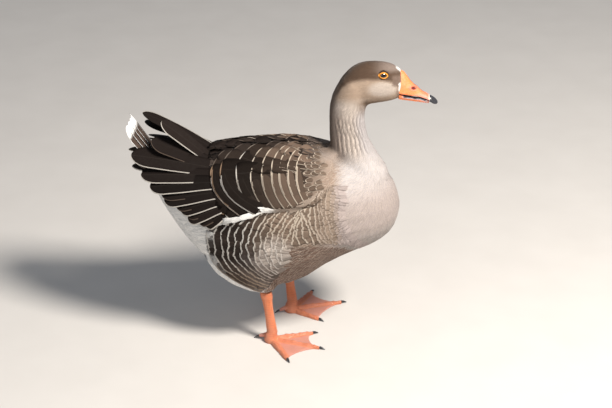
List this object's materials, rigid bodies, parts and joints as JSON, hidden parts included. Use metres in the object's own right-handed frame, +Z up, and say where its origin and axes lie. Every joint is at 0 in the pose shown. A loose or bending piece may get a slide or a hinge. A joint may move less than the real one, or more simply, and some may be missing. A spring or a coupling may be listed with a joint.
{
  "type": "domestic goose",
  "caption": "Still life-size model of a grey domestic goose standing on both webbed feet, with an orange bill, folded wings and a cocked white-edged tail.",
  "frame": {"origin": "on the floor under the middle of the goose's bounding box", "axes": "+X towards the bill, +Y towards the goose's left side, +Z up"},
  "size_m": [0.5512, 0.2802, 0.5193],
  "materials": {
    "brown_plumage": "matte feathers with pale edges",
    "pale_plumage": "soft matte feathers",
    "crown_plumage": "short velvety feathers",
    "tail_plumage": "matte feathers, brown with white edges",
    "bill": "satin horn",
    "horn": "dark satin horn",
    "leg_skin": "scaly skin",
    "eye": "wet gloss"
  },
  "bodies": {
    "root": {"bill_upper": "bill", "bill_nail": "horn", "bill_lower": "bill", "eye_right": "eye", "eye_left": "eye", "wing_right": "brown_plumage", "flight_feathers_right": "brown_plumage", "wing_left": "brown_plumage", "flight_feathers_left": "brown_plumage", "trunk": "pale_plumage", "neck_lower": "pale_plumage", "neck_upper": "pale_plumage", "head": "crown_plumage", "tail": "tail_plumage", "thigh_right": "brown_plumage", "shank_right": "leg_skin", "foot_right": "leg_skin", "claw_right_hind": "horn", "claw_right_inner": "horn", "claw_right_middle": "horn", "claw_right_outer": "horn", "thigh_left": "brown_plumage", "shank_left": "leg_skin", "foot_left": "leg_skin", "claw_left_hind": "horn", "claw_left_inner": "horn", "claw_left_middle": "horn", "claw_left_outer": "horn"}
  },
  "joints": []
}
